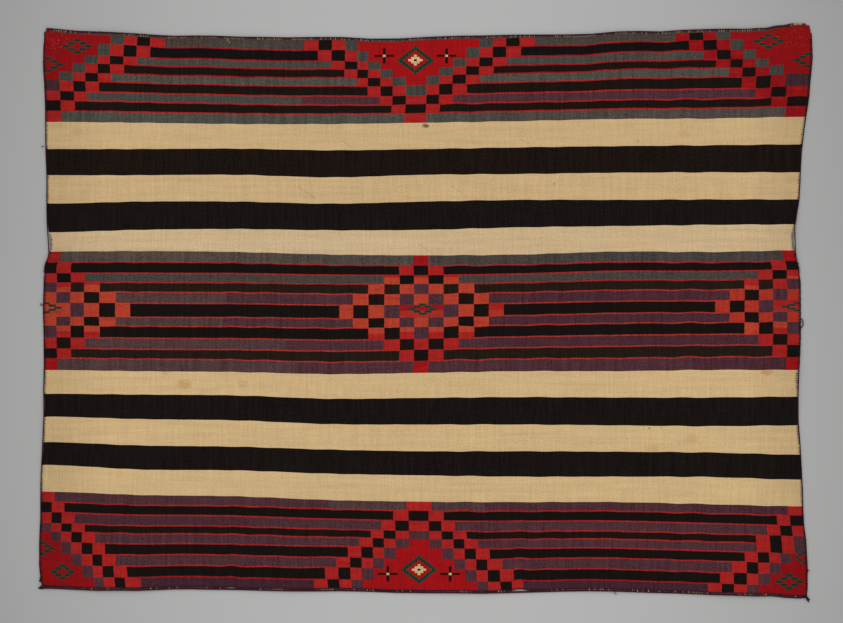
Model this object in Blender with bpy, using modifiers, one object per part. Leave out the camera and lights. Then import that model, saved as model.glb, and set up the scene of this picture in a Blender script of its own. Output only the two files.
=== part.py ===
"""A hand-woven wool chief blanket, lying face up and flat.

The web is one tapestry-woven sheet. A thick twined cord binds each warp end, and a thinner one runs
down each side. Cut cord ends stand out as small tufts at the two lower corners, and the cords are
worn short at the top right corner. Metres, +Z up, +Y towards the top edge.
"""

import math

import bmesh
import bpy
from mathutils import Vector

# Driving dimensions of the whole blanket, cords included.
WIDTH = 1.824
HEIGHT = 1.332
WEB_THICK = 0.0025
END_CORD_DIAMETER = 0.005
SIDE_CORD_DIAMETER = 0.0036
SEAT_GAP = 0.0003
MM = 0.001

# How far each edge wanders outwards from the true rectangle, in millimetres, at even steps along it:
# left to right for the ends, and top to bottom for the sides. A row is a quarter of the edge.
EDGE_WANDER_MM = {
    "top": (
        *(16, 9, 6, 2, -3, -2),
        *(-5, -6, -7, -5, -8, -8),
        *(-6, -3, -2, 0, 0, 2),
        *(7, 9, 11, 13, 15, 21, 24),
    ),
    "bottom": (
        *(-2, 1, 4, 3, 0, 0),
        *(3, 3, 5, 4, 5, 8),
        *(9, 9, 10, 8, 6, 4),
        *(5, 8, 10, 13, 15, 19, 22),
    ),
    "left": (
        *(4, 7, 5, 2, 2, 1),
        *(-1, -1, -1, -7, 2, 6),
        *(7, 6, 5, 4, 5, 7),
        *(9, 13, 13, 14, 16, 16, 11),
    ),
    "right": (
        *(16, 18, 13, 8, -1, -6),
        *(-10, -13, -21, -26, -15, -10),
        *(-10, -10, -12, -15, -16, -15),
        *(-10, -7, -5, -3, 3, 6, 6),
    ),
}

# How far the two edges turn in at each corner, and over what length before it.
CORNER_TURNS_MM = {
    # corner: end edge, side edge, length
    ("top", "left"): (6, 5, 16),
    ("top", "right"): (0, 6, 26),
    ("bottom", "left"): (-1, 2, 24),
    ("bottom", "right"): (3, 4, 24),
}

# Where the cloth stands off the surface: a low swell at each place, in millimetres, with its half
# length along the edge, its half depth into the web, and its height.
COCKLES_MM = (
    # name, x, y, half_x, half_y, height
    ("top_left", -760, 690, 140, 110, 3.0),
    ("top_inner_left", -420, 675, 150, 95, 2.0),
    ("top_middle", -10, 668, 160, 90, 2.0),
    ("top_inner_right", 400, 680, 140, 95, 2.5),
    ("top_right", 735, 700, 150, 120, 3.5),
    ("left_upper", -915, 170, 80, 130, 2.5),
    ("left_lower", -930, -250, 75, 150, 2.0),
    ("right_upper", 890, 175, 90, 130, 3.0),
    ("right_lower", 900, -150, 80, 150, 2.5),
    ("bottom_left", -740, -680, 150, 110, 3.0),
    ("bottom_inner_left", -330, -680, 150, 95, 2.0),
    ("bottom_middle", 90, -690, 160, 95, 2.5),
    ("bottom_inner_right", 430, -685, 130, 90, 2.0),
    ("bottom_right", 740, -700, 150, 120, 3.5),
)

# The web's grid, closer near the edges than in the middle.
COLUMNS = 48
ROWS = 36
EDGE_CLOSENESS = 0.8

# How far short of the corners each cord stops, at its left or lower end and at its right or upper end.
CORD_ENDS_MM = {
    # cord: left or lower end, right or upper end
    "top": (0, 42),
    "bottom": (10, 6),
    "left": (19, 0),
    "right": (0, 10),
}

# Tufts of cut cord ends: the cord that each ends, at its first or last point, the heading in degrees
# from +X, and the length.
TUFTS = (
    # name, cord, point, heading, length_mm
    ("tuft_bottom_right", "right", 0, -52, 14.5),
    ("tuft_bottom_left", "bottom", 0, -161, 12.0),
    ("tuft_left_side", "left", 0, -112, 14.0),
)
TUFT_STRANDS = 6
TUFT_KNOT_RADIUS = 0.0020
TUFT_STRAND_RADIUS = 0.0008
TUFT_SPREAD = 26

for leftover in list(bpy.data.objects):
    bpy.data.objects.remove(leftover)


def collection(name):
    made = bpy.data.collections.new(name)
    bpy.context.scene.collection.children.link(made)
    return made


BLANKET = collection("chief_blanket")
JOINERS = collection("joiners")


def material(name, colour, roughness):
    made = bpy.data.materials.new(name)
    made.use_nodes = True
    shader = made.node_tree.nodes["Principled BSDF"]
    shader.inputs["Base Color"].default_value = (*colour, 1.0)
    shader.inputs["Roughness"].default_value = roughness
    shader.inputs["Metallic"].default_value = 0.0
    return made


WOOL_WEB = material("wool_web", (0.25, 0.12, 0.08), 0.9)
WOOL_CORD = material("wool_cord", (0.035, 0.009, 0.022), 0.85)


def wander(edge, share):
    """How far the edge lies outside the true rectangle, in metres, at a share of its length."""
    steps = EDGE_WANDER_MM[edge]
    place = min(max(share, 0.0), 1.0) * (len(steps) - 1)
    first = min(int(place), len(steps) - 2)
    part = place - first
    before, a, b, after = (steps[min(max(first + k, 0), len(steps) - 1)] for k in (-1, 0, 1, 2))
    slope_a, slope_b = (b - before) / 2, (after - a) / 2
    bend = 3 * (b - a) - 2 * slope_a - slope_b
    curl = 2 * (a - b) + slope_a + slope_b
    return (a + slope_a * part + bend * part**2 + curl * part**3) * MM


def turned_in(corner, which, to_corner):
    """How far an edge has turned in at a distance from its corner."""
    turn = CORNER_TURNS_MM[corner]
    near = max(0.0, 1 - to_corner / (turn[2] * MM))
    return turn[which] * MM * near**2


def outer_x(side, y):
    """The outer edge of a side cord at a height."""
    end = "top" if y > 0 else "bottom"
    reach = WIDTH / 2 + wander(side, 0.5 - y / HEIGHT)
    corner_y = HEIGHT / 2 + wander(end, 0.0 if side == "left" else 1.0)
    reach -= turned_in((end, side), 1, corner_y - abs(y))
    return reach if side == "right" else -reach


def outer_y(end, x):
    """The outer edge of an end cord at a place across the blanket."""
    side = "right" if x > 0 else "left"
    reach = HEIGHT / 2 + wander(end, x / WIDTH + 0.5)
    corner_x = WIDTH / 2 + wander(side, 0.0 if end == "top" else 1.0)
    reach -= turned_in((end, side), 0, corner_x - abs(x))
    return reach if end == "top" else -reach


def lift(x, y):
    """How high the underside stands off the surface."""
    height = 0.0
    for _name, middle_x, middle_y, half_x, half_y, peak in COCKLES_MM:
        away = math.hypot((x / MM - middle_x) / half_x, (y / MM - middle_y) / half_y)
        if away < 1:
            height = max(height, peak * MM * math.cos(math.pi / 2 * away) ** 2)
    return height


def crowded(share):
    """An even share moved towards the nearer edge, so that the grid is closer there."""
    return share - EDGE_CLOSENESS * math.sin(2 * math.pi * share) / (2 * math.pi)



def web_point(across, up):
    """A point of the web's underside, from its shares of the width and height."""
    side_inset = SIDE_CORD_DIAMETER + SEAT_GAP
    end_inset = END_CORD_DIAMETER + SEAT_GAP
    middle = (outer_y("top", 0.0) + outer_y("bottom", 0.0)) / 2
    level = middle + (up - 0.5) * (outer_y("top", 0.0) - outer_y("bottom", 0.0))
    for _pass in range(3):
        left = outer_x("left", level) + side_inset
        right = outer_x("right", level) - side_inset
        x = left + across * (right - left)
        bottom = outer_y("bottom", x) + end_inset
        top = outer_y("top", x) - end_inset
        level = bottom + up * (top - bottom)
    return x, level, lift(x, level)


def shown(made, skin):
    made.data.materials.append(skin)
    BLANKET.objects.link(made)
    return made


def web():
    """The woven sheet: a grid laid on the blanket's outline, given the cloth's thickness."""
    grid = bmesh.new()
    bmesh.ops.create_grid(grid, x_segments=COLUMNS, y_segments=ROWS, size=0.5)
    for vertex in grid.verts:
        vertex.co = web_point(crowded(vertex.co.x + 0.5), crowded(vertex.co.y + 0.5))
    mesh = bpy.data.meshes.new("web")
    grid.to_mesh(mesh)
    grid.free()
    made = shown(bpy.data.objects.new("web", mesh), WOOL_WEB)
    thickness = made.modifiers.new("cloth_thickness", "SOLIDIFY")
    thickness.thickness = WEB_THICK
    thickness.offset = 1.0
    return made


def trimmed(points, start, finish):
    """The part of a run of points that is left when a length is cut from each of its ends."""
    for length in (start, finish):
        while length > 0 and (points[1] - points[0]).length <= length:
            length -= (points[1] - points[0]).length
            points = points[1:]
        if length > 0:
            step = points[1] - points[0]
            points = [points[0] + step * (length / step.length), *points[1:]]
        points = points[::-1]
    return points


def cord(name, points, diameter, ends_mm):
    """A round cord through the points, stopping short of each end. It returns what is left of them."""
    points = trimmed(points, ends_mm[0] * MM, ends_mm[1] * MM)
    curve = bpy.data.curves.new(name, "CURVE")
    curve.dimensions = "3D"
    curve.bevel_depth = diameter / 2
    curve.bevel_resolution = 2
    curve.use_fill_caps = True
    spline = curve.splines.new("POLY")
    spline.points.add(len(points) - 1)
    for place, point in zip(spline.points, points):
        place.co = (*point, 1.0)
    shown(bpy.data.objects.new(name, curve), WOOL_CORD)
    return points


def end_cord(end):
    """The twined cord along one warp end, from one outer corner to the other."""
    radius = END_CORD_DIAMETER / 2
    up = 1.0 if end == "top" else 0.0
    seat = radius + SEAT_GAP
    outward = seat if end == "top" else -seat
    points = []
    for k in range(COLUMNS + 1):
        x, y, z = web_point(crowded(k / COLUMNS), up)
        points.append(Vector((x, y + outward, z + radius)))
    for side, place in (("left", 0), ("right", len(points) + 1)):
        beyond = points[0 if side == "left" else -1].copy()
        beyond.x += SIDE_CORD_DIAMETER * (-1 if side == "left" else 1)
        points.insert(place, beyond)
    return cord(f"end_cord_{end}", points, END_CORD_DIAMETER, CORD_ENDS_MM[end])


def side_cord(side):
    """The twined cord down one side, between the two end cords."""
    radius = SIDE_CORD_DIAMETER / 2
    across = 1.0 if side == "right" else 0.0
    outward = (radius + SEAT_GAP) * (1 if side == "right" else -1)
    points = []
    for k in range(ROWS + 1):
        x, y, z = web_point(across, crowded(k / ROWS))
        points.append(Vector((x + outward, y, z + radius)))
    return cord(f"side_cord_{side}", points, SIDE_CORD_DIAMETER, CORD_ENDS_MM[side])


def joiner(name, target):
    """A closed shape that is fused to the target and isn't a piece of its own."""
    mesh = bpy.data.meshes.new(name)
    made = bpy.data.objects.new(name, mesh)
    made.hide_render = True
    made.display_type = "WIRE"
    JOINERS.objects.link(made)
    fuse = target.modifiers.new(name, "BOOLEAN")
    fuse.operation = "UNION"
    fuse.object = made
    return made


def tuft(name, run, point, heading, length_mm):
    """Cut cord ends: a tied knot past the end of a cord, with its strands fanned out on the surface."""
    knot = bmesh.new()
    bmesh.ops.create_uvsphere(knot, u_segments=10, v_segments=6, radius=TUFT_KNOT_RADIUS)
    mesh = bpy.data.meshes.new(name)
    knot.to_mesh(mesh)
    knot.free()
    made = shown(bpy.data.objects.new(name, mesh), WOOL_CORD)
    end, before = (run[point], run[1]) if point == 0 else (run[-1], run[-2])
    place = end + (end - before).normalized() * (TUFT_KNOT_RADIUS + SEAT_GAP)
    made.location = (place.x, place.y, TUFT_KNOT_RADIUS)
    for k in range(TUFT_STRANDS):
        side = k / (TUFT_STRANDS - 1) - 0.5
        reach = length_mm * MM * (1 - 0.35 * abs(side) - 0.1 * (k % 2))
        strand = joiner(f"{name}_strand_{k}", made)
        cone = bmesh.new()
        bmesh.ops.create_cone(
            cone,
            cap_ends=True,
            segments=4,
            radius1=TUFT_STRAND_RADIUS,
            radius2=TUFT_STRAND_RADIUS / 2,
            depth=reach,
        )
        for vertex in cone.verts:
            vertex.co.z += reach / 2
        cone.to_mesh(strand.data)
        cone.free()
        low = TUFT_STRAND_RADIUS * (1.2 + 0.9 * (k % 2))
        strand.location = (place.x, place.y, low)
        turn = math.radians(heading + TUFT_SPREAD * side)
        strand.rotation_euler = (0, math.pi / 2, turn)
    return made


web()
RUNS = {
    "top": end_cord("top"),
    "bottom": end_cord("bottom"),
    "left": side_cord("left"),
    "right": side_cord("right"),
}
for tuft_name, ended_cord, end_point, tuft_heading, tuft_length in TUFTS:
    tuft(tuft_name, RUNS[ended_cord], end_point, tuft_heading, tuft_length)
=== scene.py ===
"""A hand-woven wool chief blanket, lying face up on a pale floor.

The sections follow the blanket as it is made: the woven web, the cords that bind its ends and
sides, the loops and wraps of those cords, and the tufts and loose yarns at its edges. The studio
comes last. Metres, +Z up, +Y towards the top edge. Tables in millimetres say so.
"""

import functools
import math
import random

import bmesh
import bpy
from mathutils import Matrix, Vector


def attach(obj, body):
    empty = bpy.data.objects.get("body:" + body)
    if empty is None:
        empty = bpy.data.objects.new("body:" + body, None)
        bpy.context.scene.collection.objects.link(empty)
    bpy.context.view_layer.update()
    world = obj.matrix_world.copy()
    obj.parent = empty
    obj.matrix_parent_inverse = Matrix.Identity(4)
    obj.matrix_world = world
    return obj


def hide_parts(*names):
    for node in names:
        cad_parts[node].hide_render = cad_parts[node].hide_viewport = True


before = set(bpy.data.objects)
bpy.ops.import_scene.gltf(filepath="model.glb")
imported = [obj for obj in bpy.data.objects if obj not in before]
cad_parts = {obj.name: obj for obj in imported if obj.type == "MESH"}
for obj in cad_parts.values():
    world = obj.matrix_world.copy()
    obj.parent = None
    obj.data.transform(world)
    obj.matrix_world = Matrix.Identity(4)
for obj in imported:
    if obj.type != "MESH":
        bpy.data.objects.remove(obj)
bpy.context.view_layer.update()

# ---------------------------------------------------------------------------------------------
# The web: one sheet of weft-faced wool tapestry, beaten so tight that only the wefts show. Its
# bands, stripes, stepped checks and small diamonds are woven in with yarns of different dyes. It
# lies a little proud of the floor in a few low cockles near its edges.

MM = 0.001
WIDTH = 1.824
HEIGHT = 1.332
WEB_THICK = 0.0025
END_CORD_DIAMETER = 0.005
SIDE_CORD_DIAMETER = 0.0036
SEAT_GAP = 0.0003

# How far each edge wanders outwards from the true rectangle, at even steps along it: left to right
# for the ends, and top to bottom for the sides. A row is a quarter of the edge.
EDGE_WANDER_MM = {
    "top": (
        *(16, 9, 6, 2, -3, -2),
        *(-5, -6, -7, -5, -8, -8),
        *(-6, -3, -2, 0, 0, 2),
        *(7, 9, 11, 13, 15, 21, 24),
    ),
    "bottom": (
        *(-2, 1, 4, 3, 0, 0),
        *(3, 3, 5, 4, 5, 8),
        *(9, 9, 10, 8, 6, 4),
        *(5, 8, 10, 13, 15, 19, 22),
    ),
    "left": (
        *(4, 7, 5, 2, 2, 1),
        *(-1, -1, -1, -7, 2, 6),
        *(7, 6, 5, 4, 5, 7),
        *(9, 13, 13, 14, 16, 16, 11),
    ),
    "right": (
        *(16, 18, 13, 8, -1, -6),
        *(-10, -13, -21, -26, -15, -10),
        *(-10, -10, -12, -15, -16, -15),
        *(-10, -7, -5, -3, 3, 6, 6),
    ),
}

# How far the two edges turn in at each corner, and over what length.
CORNER_TURNS_MM = {
    # corner: end edge, side edge, length
    ("top", "left"): (2, 1, 14),
    ("top", "right"): (0, 6, 26),
    ("bottom", "left"): (-1, 2, 24),
    ("bottom", "right"): (3, 4, 24),
}

# Dips and rises of the edges that are shorter than those steps.
SHORT_WAVES_MM = (
    # edge, place along it, half length, out
    ("top", 817, 110, -2.5),
    ("top", 1292, 60, -2.4),
    ("top", 1479, 50, -2.6),
    ("top", 1690, 60, -2.6),
    ("top", 1727, 25, -3.4),
    ("top", 1800, 35, 3.5),
    ("top", 1840, 70, 3.0),
    ("left", 508, 40, -4.5),
    ("left", 560, 30, 3.8),
    ("left", 853, 40, 2.0),
    ("right", 493, 50, -3.0),
    ("right", 824, 40, -3.0),
    ("right", 275, 30, -1.9),
    ("right", 562, 25, 2.2),
    ("bottom", 170, 60, -1.6),
    ("bottom", 446, 26, -3.2),
    ("bottom", 1138, 26, -3.6),
    ("bottom", 1742, 40, -2.4),
)

# The low swells where the cloth stands off the floor.
COCKLES_MM = (
    # name, x, y, half_x, half_y, height
    ("top_left", -760, 690, 140, 110, 3.0),
    ("top_inner_left", -420, 675, 150, 95, 2.0),
    ("top_middle", -10, 668, 160, 90, 2.0),
    ("top_inner_right", 400, 680, 140, 95, 2.5),
    ("top_right", 735, 700, 150, 120, 3.5),
    ("left_upper", -915, 170, 80, 130, 2.5),
    ("left_lower", -930, -250, 75, 150, 2.0),
    ("right_upper", 890, 175, 90, 130, 3.0),
    ("right_lower", 900, -150, 80, 150, 2.5),
    ("bottom_left", -740, -680, 150, 110, 3.0),
    ("bottom_inner_left", -330, -680, 150, 95, 2.0),
    ("bottom_middle", 90, -690, 160, 95, 2.5),
    ("bottom_inner_right", 430, -685, 130, 90, 2.0),
    ("bottom_right", 740, -700, 150, 120, 3.5),
)


def curve_at(values, k, part):
    """The smooth curve through numbers or points, part of the way from the k-th to the next."""
    before, a, b, after = (values[min(max(k + j, 0), len(values) - 1)] for j in (-1, 0, 1, 2))
    return (
        a
        + (b - before) * (0.5 * part)
        + (before * 2 - a * 5 + b * 4 - after) * (0.5 * part**2)
        + ((a - b) * 3 + after - before) * (0.5 * part**3)
    )


def wander(edge, share):
    """How far the edge lies outside the true rectangle, in metres, at a share of its length."""
    steps = EDGE_WANDER_MM[edge]
    place = min(max(share, 0.0), 1.0) * (len(steps) - 1)
    first = min(int(place), len(steps) - 2)
    out = curve_at(steps, first, place - first)
    along = share * (WIDTH if edge in ("top", "bottom") else HEIGHT) / MM
    for waved, middle, half, high in SHORT_WAVES_MM:
        if waved == edge and abs(along - middle) < half:
            out += high * math.cos(math.pi / 2 * (along - middle) / half) ** 2
    return out * MM


def turned_in(corner, which, to_corner):
    """How far an edge has turned in at a distance from its corner."""
    turn = CORNER_TURNS_MM[corner]
    near = max(0.0, 1 - to_corner / (turn[2] * MM))
    return turn[which] * MM * near**2


def outer_x(side, y):
    """The outer edge of a side cord at a height."""
    end = "top" if y > 0 else "bottom"
    reach = WIDTH / 2 + wander(side, 0.5 - y / HEIGHT)
    corner_y = HEIGHT / 2 + wander(end, 0.0 if side == "left" else 1.0)
    reach -= turned_in((end, side), 1, corner_y - abs(y))
    return reach if side == "right" else -reach


def outer_y(end, x):
    """The outer edge of an end cord at a place across the blanket."""
    side = "right" if x > 0 else "left"
    reach = HEIGHT / 2 + wander(end, x / WIDTH + 0.5)
    corner_x = WIDTH / 2 + wander(side, 0.0 if end == "top" else 1.0)
    reach -= turned_in((end, side), 0, corner_x - abs(x))
    return reach if end == "top" else -reach


def lift(x, y):
    """How high the underside stands off the floor."""
    height = 0.0
    for _name, middle_x, middle_y, half_x, half_y, peak in COCKLES_MM:
        away = math.hypot((x / MM - middle_x) / half_x, (y / MM - middle_y) / half_y)
        if away < 1:
            height = max(height, peak * MM * math.cos(math.pi / 2 * away) ** 2)
    return height


# The height of each line where the weaver changed from one band to the next, at nine places across.
LINE_PLACES_MM = (-895, -684, -456, -228, -7, 228, 456, 684, 881)
BAND_LINES_MM = (
    # (above, below), then the line's height at each place
    (("top_band", "ivory_1"), (456, 454, 451, 451, 454, 458, 463, 464, 468)),
    (("ivory_1", "black_1"), (391, 391, 392, 388, 391, 395, 398, 400, 402)),
    (("black_1", "ivory_2"), (328, 328, 329, 323, 329, 331, 334, 335, 335)),
    (("ivory_2", "black_2"), (260, 265, 265, 260, 265, 269, 269, 270, 270)),
    (("black_2", "ivory_3"), (191, 197, 199, 196, 197, 203, 206, 209, 210)),
    (("ivory_3", "middle_band"), (145, 146, 144, 138, 136, 138, 145, 144, 148)),
    (("middle_band", "ivory_4"), (-139, -142, -144, -149, -146, -142, -142, -139, -139)),
    (("ivory_4", "black_3"), (-196, -198, -200, -208, -206, -204, -205, -205, -203)),
    (("black_3", "ivory_5"), (-251, -257, -260, -269, -270, -270, -272, -274, -272)),
    (("ivory_5", "black_4"), (-312, -320, -323, -330, -334, -334, -335, -337, -342)),
    (("black_4", "ivory_6"), (-367, -378, -380, -388, -392, -395, -395, -396, -402)),
    (("ivory_6", "bottom_band"), (-431, -439, -442, -451, -455, -456, -456, -461, -466)),
)

# The yarns' dyes as the light shows them, in 8-bit sRGB.
DYES = {
    "ivory": (198, 168, 123),
    "cream": (199, 172, 132),
    "pale_ivory": (203, 173, 126),
    "sheep_black": (23, 14, 9),
    "brown_black": (32, 21, 15),
    "soft_black": (20, 14, 11),
    "blue_black": (14, 10, 11),
    "black": (18, 12, 9),
    "blue_grey": (66, 65, 60),
    "grey_green": (72, 72, 65),
    "brown_grey": (67, 60, 54),
    "warm_grey": (75, 67, 61),
    "dull_grey": (67, 60, 57),
    "dim_grey": (61, 62, 56),
    "purple": (73, 43, 49),
    "plum": (70, 42, 49),
    "dark_plum": (62, 37, 43),
    "grey_purple": (76, 54, 54),
    "rich_purple": (70, 38, 46),
    "deep_purple": (62, 32, 43),
    "crimson": (161, 30, 28),
    "warm_crimson": (157, 29, 27),
    "line_crimson": (148, 17, 20),
    "deep_crimson": (152, 13, 17),
    "corner_crimson": (138, 11, 16),
    "orange": (173, 60, 40),
    "late_orange": (166, 47, 33),
    "orange_red": (160, 43, 33),
    "green": (3, 55, 43),
    "hem_purple": (60, 27, 35),
    "red_light": (164, 44, 34),
    "lazy_brown_and_crease_shade": (120, 92, 66),
    "worn_fibre": (205, 150, 110),
    "white_batch": (208, 184, 152),
    "brown_batch": (84, 70, 60),
    "spilt_dark": (34, 22, 18),
    "soil_brown": (66, 48, 36),
    "pale_fleck": (150, 140, 120),
    "ink_dark": (22, 20, 26),
    "speck_brown": (90, 60, 44),
    "tan_stain": (178, 124, 66),
    "grubby_ivory": (186, 160, 118),
    "orange_stain": (184, 112, 52),
    "red_dark": (122, 22, 26),
    "selvage_grey": (78, 62, 53),
}

# The usual yarns of each patterned band's checks.
BAND_CHECKS = {
    # band: third check out, red
    "top_band": ("dim_grey", "warm_crimson"),
    "middle_band": ("plum", "crimson"),
    "bottom_band": ("purple", "crimson"),
}

# Each row of the three patterned bands, from the top down. A row is one check high.
CHECK_ROWS = {
    # band: stripe, dark check, line above, height at the left, middle and right
    "top_band": (
        ("brown_grey", "black", None, 9.8, 11.3, 8.3),
        ("blue_black", "blue_black", "line_crimson", 11.2, 11, 10),
        ("blue_grey", "black", "line_crimson", 8, 8, 9),
        ("sheep_black", "black", "line_crimson", 9, 8.5, 8),
        ("grey_green", "black", "line_crimson", 8.3, 8.5, 9),
        ("sheep_black", "black", "warm_crimson", 10, 10, 11.5),
        ("purple", "black", "warm_crimson", 8.8, 9, 9.5),
        ("sheep_black", "black", "warm_crimson", 10, 9, 9),
        ("grey_green", "black", "warm_crimson", 10.5, 10, 10),
    ),
    "middle_band": (
        ("warm_grey", "black", None, 11, 10.5, 10.5),
        ("black", "black", "warm_crimson", 11, 10, 9),
        ("dull_grey", "blue_black", "warm_crimson", 9.3, 9, 9),
        ("brown_black", "brown_black", "warm_crimson", 9.7, 10, 10),
        ("purple", "sheep_black", "orange_red", 11, 11, 11),
        ("black", "black", "orange_red", 14, 13.5, 12),
        ("purple", "black", "orange_red", 9, 9.5, 10),
        ("black", "black", "orange_red", 12, 12, 12),
        ("purple", "sheep_black", "orange_red", 11, 11, 11),
        ("brown_black", "black", "orange_red", 9.8, 11, 12),
        ("purple", "black", "orange_red", 12.2, 12, 13),
    ),
    "bottom_band": (
        ("purple", "black", None, 10, 9, 9),
        ("black", "black", "warm_crimson", 10, 10, 10),
        ("purple", "black", "warm_crimson", 10.5, 10, 10),
        ("sheep_black", "black", "warm_crimson", 8, 8, 8),
        ("purple", "black", "warm_crimson", 10, 9, 9),
        ("black", "black", "warm_crimson", 11, 11, 10),
        ("purple", "black", "warm_crimson", 11, 10, 11),
        ("black", "black", "warm_crimson", 11.2, 12, 11),
        ("deep_purple", "black", "line_crimson", 11, 9.8, 9.3),
    ),
}
# Where those three heights were taken.
ROW_PLACES_MM = (-564, -228, 516)
# This row of the top band has plum checks instead, except on the middle diamond.
PLUM_ROW, PLUM_FROM_MM = 5, 400

PLAIN_BANDS = {
    "ivory_1": "ivory",
    "black_1": "sheep_black",
    "ivory_2": "ivory",
    "black_2": "soft_black",
    "ivory_3": "cream",
    "ivory_4": "pale_ivory",
    "black_3": "soft_black",
    "ivory_5": "pale_ivory",
    "black_4": "soft_black",
    "ivory_6": "pale_ivory",
}
# How mixed the carded wool is: the ivory is even, the brown sheep's black is not, and the dyed
# yarns of the patterned bands lie between.
CARDED = {"ivory": 0.3, "black": 2.0}
CARDED_DYED = 1.2

# Stripes whose yarn came from another batch over part of their length.
BATCHES_MM = (
    # band, row, from, to, yarn
    ("top_band", 6, -1000, -294, "blue_grey"),
    ("top_band", 8, 120, 1000, "warm_grey"),
    ("middle_band", 0, 0, 1000, "dull_grey"),
    ("middle_band", 4, -1000, -480, "grey_purple"),
    ("middle_band", 6, -1000, -490, "grey_purple"),
    ("middle_band", 8, -1000, -340, "grey_purple"),
    ("middle_band", 10, -1000, -310, "grey_purple"),
    ("middle_band", 4, 150, 1000, "rich_purple"),
    ("middle_band", 6, 150, 1000, "rich_purple"),
    ("middle_band", 8, 150, 1000, "rich_purple"),
    ("middle_band", 10, 640, 1000, "rich_purple"),
    ("bottom_band", 0, -230, 140, "grey_purple"),
    ("bottom_band", 0, 640, 1000, "rich_purple"),
    ("bottom_band", 2, -1000, -420, "rich_purple"),
)
# Half the height of the thin red lines between rows.
HALF_LINES_MM = {"top_band": 1.75, "middle_band": 1.5, "bottom_band": 1.6}
# The height of the grey wefts along the top edge, and how far they run.
SELVAGE_WEFTS_MM = 3.0
SELVAGE_WEFTS_FROM_MM, SELVAGE_WEFTS_TO_MM = -899, 846
# The height of the dark wefts along the bottom edge, and where they start.
BOTTOM_HEM_MM, BOTTOM_HEM_FROM_MM = 3.2, -915

# Where the left-hand diamonds end and the right-hand ones begin.
LEFT_DIAMONDS_TO_MM, RIGHT_DIAMONDS_FROM_MM = -470, 467

# The middle band's reds, where they aren't its usual one. Some change from one yarn to the next
# inside a row, and not at the same place in all diamonds. A later line goes before an earlier one.
MIDDLE_REDS = (
    # row, diamond, ring of checks, yarn above, yarn below, share of the row above the change
    (0, "any", "any", "deep_crimson", "deep_crimson", 0),
    (2, "any", "any", "crimson", "orange", 0.25),
    (3, "any", "any", "orange", "orange", 0),
    (4, "any", "any", "orange", "orange", 0),
    (5, "any", "any", "orange", "orange", 0),
    (6, "any", "any", "orange", "orange", 0),
    (7, "any", "any", "orange", "crimson", 0.5),
    (10, "any", "any", "deep_crimson", "deep_crimson", 0),
    (2, "left", "any", "crimson", "crimson", 0),
    (2, "right", "outer", "crimson", "crimson", 0),
    (2, "right", "inner", "crimson", "orange", 0.67),
    (3, "left", "inner", "crimson", "orange", 0.5),
    (3, "left", "outer", "crimson", "orange", 0.25),
    (3, "right", "inner", "crimson", "crimson", 0),
    (3, "right", "outer", "crimson", "orange", 0.6),
    (4, "right", "any", "late_orange", "late_orange", 0),
    (5, "right", "any", "late_orange", "late_orange", 0),
    (6, "right", "any", "late_orange", "late_orange", 0),
    (5, "middle", "heart", "deep_crimson", "orange_red", 0.45),
    (5, "right", "heart", "crimson", "orange_red", 0.5),
    (7, "middle", "inner", "orange", "crimson", 0.4),
    (7, "right", "outer", "orange", "orange", 0),
)
# The last check of the middle diamond's widest row changes its red half way down.
SPLIT_CHECK_ROW, SPLIT_CHECK_MM = 5, (146, 192)

# Each side of each stepped diamond, measured along the warps: where its axis column and the checks
# out from it end, in millimetres from the middle of the web where it is at its true width.
HALF_DIAMONDS_MM = {
    # band: from, to, how much further its last red check reaches, ends of the axis and the checks
    "top_band": (
        (-1000, -470, 1.5, (-877, -844.2, -815.6, -784.5, -755.5, -723.5, -692.5, -661.8, -627.8)),
        (-470, -25, 1.2, (-50.5, -82.6, -111.3, -141.4, -166.6, -196.6, -228.7, -260, -293.6)),
        (-25, 467, 3.2, (-1.5, 28.5, 60.5, 92, 122.8, 154.4, 185.8, 217.8, 251.3)),
        (467, 1000, 1.0, (863, 826, 789, 754, 720.1, 687.1, 655.4, 622.4, 590.8)),
    ),
    "middle_band": (
        (-1000, -470, 0.8, (-882.5, -848.8, -816.3, -779.3, -740.3, -704.9)),
        (-470, -2, 0.8, (-19.5, -53.8, -91.1, -129.2, -166.3, -198.7)),
        (-2, 467, 0.6, (15.5, 52, 88, 125.2, 161, 196.8)),
        (467, 1000, 0.4, (882, 847.4, 813, 778.6, 742.4, 707.7)),
    ),
    "bottom_band": (
        (-1000, -470, 6.0, (-887, -863, -838.3, -813.3, -787.2, -764.3, -737.8, -713.7, -683.7)),
        (-470, -8, 5.0, (-31.9, -64.5, -93, -119.1, -146.9, -174.4, -203.1, -230.7, -259.3)),
        (-8, 467, 7.0, (16, 46, 73.3, 99.1, 125.9, 152.1, 181.5, 209.2, 231)),
        (467, 1000, 3.5, (880, 852.5, 825.5, 797.5, 769.6, 738.2, 709, 680.1)),
    ),
}

# What the plain bands have instead of a half diamond.
NO_DIAMOND = (-9, 0.0, (0.0, 1.0))

# The right-hand diamonds' axis columns drift from row to row, and the checks near them drift less.
ROW_SHIFTS_MM = {
    # band: one shift for each row, from the top down
    "top_band": (-18, -18, -18, -21, -16, -8.5, -4.6, 0, 0),
    "bottom_band": (1, 1.5, 4, 5, 5, -3, -3, 0, 0),
}
SHIFTED_CHECKS = 4
# Two rows of the last diamond are woven as one, so its lower rows reach a check less.
SHARED_ROW_REACHES = (0, 1, 2, 3, 3, 4, 5, 6, 7)
SHARED_ROWS, SHARED_ROW_FROM_MM = (3, 4), 796.0

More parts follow.
